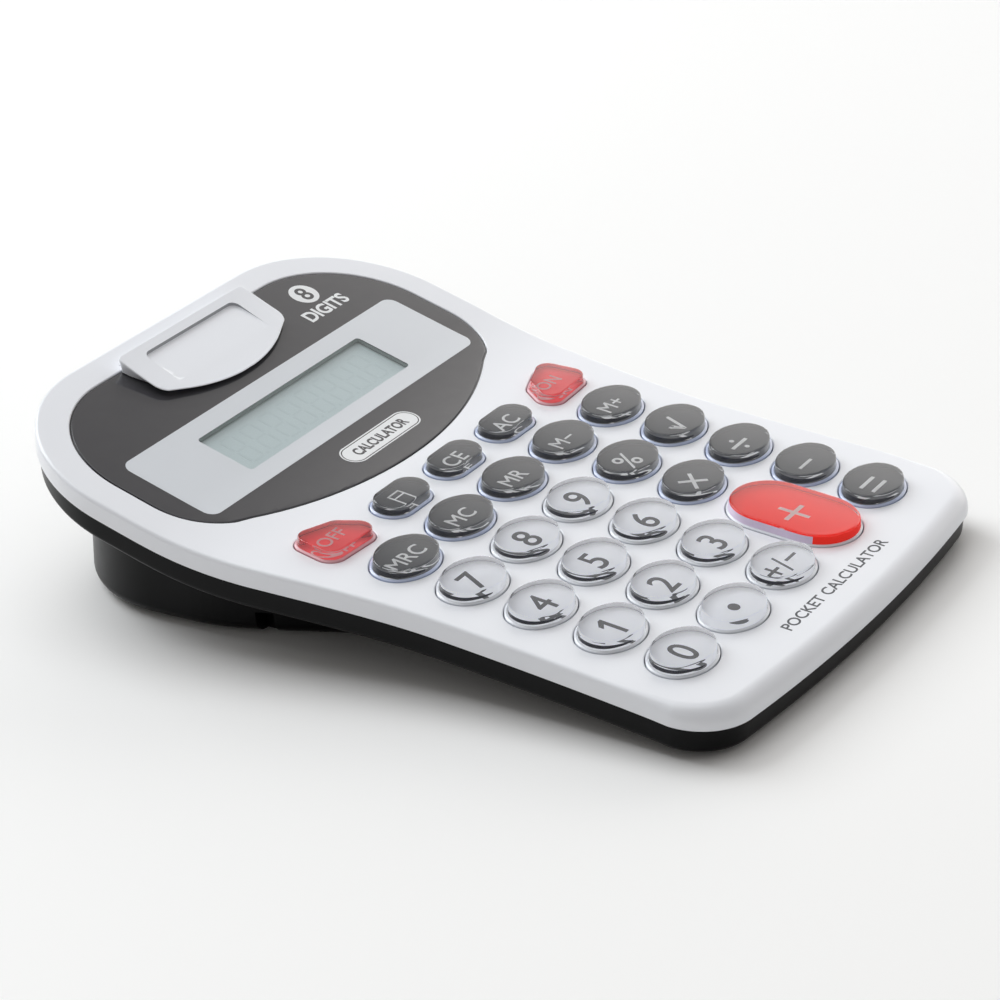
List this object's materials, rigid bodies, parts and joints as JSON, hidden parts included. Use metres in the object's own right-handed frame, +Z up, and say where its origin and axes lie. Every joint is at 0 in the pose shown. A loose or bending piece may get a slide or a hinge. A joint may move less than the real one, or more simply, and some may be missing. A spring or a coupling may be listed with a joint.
{
  "type": "pocket calculator",
  "caption": "Battery calculator with a sloping display, clear sprung keys, a sprung paper clip over the display and a battery foot under its rounded head.",
  "frame": {"origin": "on the desk under the middle of the calculator, at the centre of its footprint", "axes": "+X to the user's right, +Y from the keyboard to the display, +Z up; the rubber feet stand on z = 0"},
  "size_m": [0.094, 0.1328, 0.0326],
  "materials": {
    "case_white": "satin pearl white moulding",
    "clip_white": "satin pearl white moulding",
    "case_black": "satin black moulding",
    "lens": "glossy dark grey printed lens with a silver panel",
    "liquid_crystal": "grey green liquid crystal cell",
    "holder": "moulded holder",
    "ribbon": "amber polyimide ribbon",
    "board": "green solder mask",
    "epoxy": "black epoxy drop",
    "capacitor_sleeve": "printed sleeve",
    "silicone": "translucent grey silicone",
    "digit_key": "clear cap over a pale silver print",
    "function_key": "clear cap over a dark grey print",
    "red_key": "clear cap over a red print",
    "battery_jacket": "printed battery jacket",
    "spring_steel": "nickel-plated spring steel",
    "steel": "bright steel",
    "lead_sleeve": "insulated wire",
    "foot_rubber": "black rubber"
  },
  "bodies": {
    "case": {"upper_case": "case_white", "lower_case": "case_black", "display_lens": "lens", "lcd_glass": "liquid_crystal", "lcd_frame": "holder", "display_ribbon": "ribbon", "circuit_board": "board", "chip": "epoxy", "capacitor": "capacitor_sleeve", "keypad_mat": "silicone", "keypad_domes": "silicone", "battery": "battery_jacket", "battery_spring": "spring_steel", "battery_contact": "spring_steel", "battery_leads": "lead_sleeve", "clip_pin": "steel", "clip_spring": "spring_steel", "case_screws": "steel", "board_screws": "steel", "rubber_feet": "foot_rubber"},
    "clip": {"clip_plate": "clip_white"},
    "cover": {"battery_cover": "case_black"},
    "key_recall_clear_body": {"key_recall_clear": "function_key"},
    "key_memory_clear_body": {"key_memory_clear": "function_key"},
    "key_memory_recall_body": {"key_memory_recall": "function_key"},
    "key_memory_minus_body": {"key_memory_minus": "function_key"},
    "key_memory_plus_body": {"key_memory_plus": "function_key"},
    "key_7_body": {"key_7": "digit_key"},
    "key_8_body": {"key_8": "digit_key"},
    "key_9_body": {"key_9": "digit_key"},
    "key_percent_body": {"key_percent": "function_key"},
    "key_root_body": {"key_root": "function_key"},
    "key_4_body": {"key_4": "digit_key"},
    "key_5_body": {"key_5": "digit_key"},
    "key_6_body": {"key_6": "digit_key"},
    "key_times_body": {"key_times": "function_key"},
    "key_divide_body": {"key_divide": "function_key"},
    "key_1_body": {"key_1": "digit_key"},
    "key_2_body": {"key_2": "digit_key"},
    "key_3_body": {"key_3": "digit_key"},
    "key_minus_body": {"key_minus": "function_key"},
    "key_0_body": {"key_0": "digit_key"},
    "key_point_body": {"key_point": "digit_key"},
    "key_sign_body": {"key_sign": "digit_key"},
    "key_equals_body": {"key_equals": "function_key"},
    "key_plus_body": {"key_plus": "red_key"},
    "key_total_body": {"key_total": "function_key"},
    "key_clear_body": {"key_clear": "function_key"},
    "key_all_clear_body": {"key_all_clear": "function_key"},
    "key_off_body": {"key_off": "red_key"},
    "key_on_body": {"key_on": "red_key"}
  },
  "joints": [
    {"name": "clip_open", "type": "hinge", "parent": "case", "child": "clip", "pos_m": [0, 0.06066, 0.02864], "axis": [-1, 0, 0], "range_deg": [0, 28], "stiffness_Nm_per_rad": 0.04, "springref_deg": -28.65, "deforming": ["clip_spring"]},
    {"name": "battery_cover_slide", "type": "slide", "parent": "case", "child": "cover", "axis": [0, 1, 0], "range_m": [0, 0.03]},
    {"name": "key_recall_clear_press", "type": "slide", "parent": "case", "child": "key_recall_clear_body", "axis": [0, 0.1132, -0.9936], "range_m": [0, 0.0008], "stiffness_N_per_m": 900, "springref_m": -0.0003, "deforming": ["keypad_domes"]},
    {"name": "key_memory_clear_press", "type": "slide", "parent": "case", "child": "key_memory_clear_body", "axis": [0, 0.1132, -0.9936], "range_m": [0, 0.0008], "stiffness_N_per_m": 900, "springref_m": -0.0003, "deforming": ["keypad_domes"]},
    {"name": "key_memory_recall_press", "type": "slide", "parent": "case", "child": "key_memory_recall_body", "axis": [0, 0.1132, -0.9936], "range_m": [0, 0.0008], "stiffness_N_per_m": 900, "springref_m": -0.0003, "deforming": ["keypad_domes"]},
    {"name": "key_memory_minus_press", "type": "slide", "parent": "case", "child": "key_memory_minus_body", "axis": [0, 0.1132, -0.9936], "range_m": [0, 0.0008], "stiffness_N_per_m": 900, "springref_m": -0.0003, "deforming": ["keypad_domes"]},
    {"name": "key_memory_plus_press", "type": "slide", "parent": "case", "child": "key_memory_plus_body", "axis": [0, 0.1132, -0.9936], "range_m": [0, 0.0008], "stiffness_N_per_m": 900, "springref_m": -0.0003, "deforming": ["keypad_domes"]},
    {"name": "key_7_press", "type": "slide", "parent": "case", "child": "key_7_body", "axis": [0, 0.1132, -0.9936], "range_m": [0, 0.0008], "stiffness_N_per_m": 900, "springref_m": -0.0003, "deforming": ["keypad_domes"]},
    {"name": "key_8_press", "type": "slide", "parent": "case", "child": "key_8_body", "axis": [0, 0.1132, -0.9936], "range_m": [0, 0.0008], "stiffness_N_per_m": 900, "springref_m": -0.0003, "deforming": ["keypad_domes"]},
    {"name": "key_9_press", "type": "slide", "parent": "case", "child": "key_9_body", "axis": [0, 0.1132, -0.9936], "range_m": [0, 0.0008], "stiffness_N_per_m": 900, "springref_m": -0.0003, "deforming": ["keypad_domes"]},
    {"name": "key_percent_press", "type": "slide", "parent": "case", "child": "key_percent_body", "axis": [0, 0.1132, -0.9936], "range_m": [0, 0.0008], "stiffness_N_per_m": 900, "springref_m": -0.0003, "deforming": ["keypad_domes"]},
    {"name": "key_root_press", "type": "slide", "parent": "case", "child": "key_root_body", "axis": [0, 0.1132, -0.9936], "range_m": [0, 0.0008], "stiffness_N_per_m": 900, "springref_m": -0.0003, "deforming": ["keypad_domes"]},
    {"name": "key_4_press", "type": "slide", "parent": "case", "child": "key_4_body", "axis": [0, 0.1132, -0.9936], "range_m": [0, 0.0008], "stiffness_N_per_m": 900, "springref_m": -0.0003, "deforming": ["keypad_domes"]},
    {"name": "key_5_press", "type": "slide", "parent": "case", "child": "key_5_body", "axis": [0, 0.1132, -0.9936], "range_m": [0, 0.0008], "stiffness_N_per_m": 900, "springref_m": -0.0003, "deforming": ["keypad_domes"]},
    {"name": "key_6_press", "type": "slide", "parent": "case", "child": "key_6_body", "axis": [0, 0.1132, -0.9936], "range_m": [0, 0.0008], "stiffness_N_per_m": 900, "springref_m": -0.0003, "deforming": ["keypad_domes"]},
    {"name": "key_times_press", "type": "slide", "parent": "case", "child": "key_times_body", "axis": [0, 0.1132, -0.9936], "range_m": [0, 0.0008], "stiffness_N_per_m": 900, "springref_m": -0.0003, "deforming": ["keypad_domes"]},
    {"name": "key_divide_press", "type": "slide", "parent": "case", "child": "key_divide_body", "axis": [0, 0.1132, -0.9936], "range_m": [0, 0.0008], "stiffness_N_per_m": 900, "springref_m": -0.0003, "deforming": ["keypad_domes"]},
    {"name": "key_1_press", "type": "slide", "parent": "case", "child": "key_1_body", "axis": [0, 0.1132, -0.9936], "range_m": [0, 0.0008], "stiffness_N_per_m": 900, "springref_m": -0.0003, "deforming": ["keypad_domes"]},
    {"name": "key_2_press", "type": "slide", "parent": "case", "child": "key_2_body", "axis": [0, 0.1132, -0.9936], "range_m": [0, 0.0008], "stiffness_N_per_m": 900, "springref_m": -0.0003, "deforming": ["keypad_domes"]},
    {"name": "key_3_press", "type": "slide", "parent": "case", "child": "key_3_body", "axis": [0, 0.1132, -0.9936], "range_m": [0, 0.0008], "stiffness_N_per_m": 900, "springref_m": -0.0003, "deforming": ["keypad_domes"]},
    {"name": "key_minus_press", "type": "slide", "parent": "case", "child": "key_minus_body", "axis": [0, 0.1132, -0.9936], "range_m": [0, 0.0008], "stiffness_N_per_m": 900, "springref_m": -0.0003, "deforming": ["keypad_domes"]},
    {"name": "key_0_press", "type": "slide", "parent": "case", "child": "key_0_body", "axis": [0, 0.1132, -0.9936], "range_m": [0, 0.0008], "stiffness_N_per_m": 900, "springref_m": -0.0003, "deforming": ["keypad_domes"]},
    {"name": "key_point_press", "type": "slide", "parent": "case", "child": "key_point_body", "axis": [0, 0.1132, -0.9936], "range_m": [0, 0.0008], "stiffness_N_per_m": 900, "springref_m": -0.0003, "deforming": ["keypad_domes"]},
    {"name": "key_sign_press", "type": "slide", "parent": "case", "child": "key_sign_body", "axis": [0, 0.1132, -0.9936], "range_m": [0, 0.0008], "stiffness_N_per_m": 900, "springref_m": -0.0003, "deforming": ["keypad_domes"]},
    {"name": "key_equals_press", "type": "slide", "parent": "case", "child": "key_equals_body", "axis": [0, 0.1132, -0.9936], "range_m": [0, 0.0008], "stiffness_N_per_m": 900, "springref_m": -0.0003, "deforming": ["keypad_domes"]},
    {"name": "key_plus_press", "type": "slide", "parent": "case", "child": "key_plus_body", "axis": [0, 0.1132, -0.9936], "range_m": [0, 0.0008], "stiffness_N_per_m": 1400, "springref_m": -0.0003, "deforming": ["keypad_domes"]},
    {"name": "key_total_press", "type": "slide", "parent": "case", "child": "key_total_body", "axis": [0, 0.1132, -0.9936], "range_m": [0, 0.0008], "stiffness_N_per_m": 900, "springref_m": -0.0003, "deforming": ["keypad_domes"]},
    {"name": "key_clear_press", "type": "slide", "parent": "case", "child": "key_clear_body", "axis": [0, 0.1132, -0.9936], "range_m": [0, 0.0008], "stiffness_N_per_m": 900, "springref_m": -0.0003, "deforming": ["keypad_domes"]},
    {"name": "key_all_clear_press", "type": "slide", "parent": "case", "child": "key_all_clear_body", "axis": [0, 0.1132, -0.9936], "range_m": [0, 0.0008], "stiffness_N_per_m": 900, "springref_m": -0.0003, "deforming": ["keypad_domes"]},
    {"name": "key_off_press", "type": "slide", "parent": "case", "child": "key_off_body", "axis": [0, 0.1132, -0.9936], "range_m": [0, 0.0008], "stiffness_N_per_m": 900, "springref_m": -0.0003, "deforming": ["keypad_domes"]},
    {"name": "key_on_press", "type": "slide", "parent": "case", "child": "key_on_body", "axis": [0, 0.1132, -0.9936], "range_m": [0, 0.0008], "stiffness_N_per_m": 900, "springref_m": -0.0003, "deforming": ["keypad_domes"]}
  ]
}
